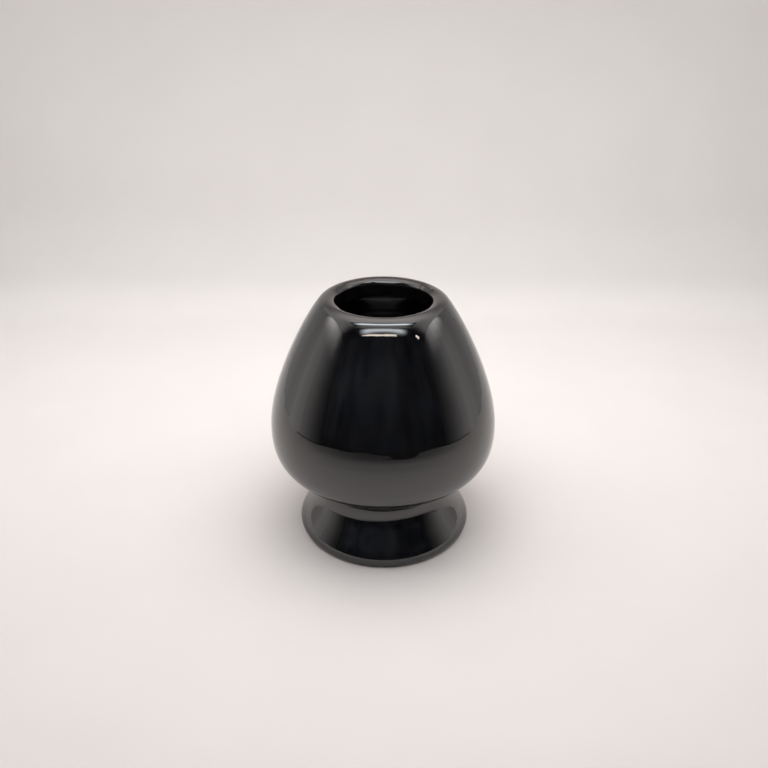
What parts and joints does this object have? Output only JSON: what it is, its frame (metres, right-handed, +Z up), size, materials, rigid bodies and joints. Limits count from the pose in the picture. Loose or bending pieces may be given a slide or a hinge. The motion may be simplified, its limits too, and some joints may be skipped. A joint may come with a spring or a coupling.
{
  "type": "matcha whisk stand",
  "caption": "Glazed ceramic stand that keeps a bamboo tea whisk in shape: a hollow rounded bulb with an open mouth, on a flared hollow foot.",
  "frame": {"origin": "centre of the foot's ring, on the surface that the stand is set on", "axes": "+Z up along the axis of the bulb and the foot; X and Y are alike, because the stand is turned about Z"},
  "size_m": [0.0638, 0.0638, 0.0715],
  "materials": {
    "fired_clay": "matte",
    "joining_slip": "matte",
    "black_glaze": "gloss"
  },
  "bodies": {
    "root": {"cup": "fired_clay", "pedestal": "fired_clay", "slip_joint": "joining_slip", "outer_glaze": "black_glaze", "inner_glaze": "black_glaze", "recess_glaze": "black_glaze"}
  },
  "joints": []
}
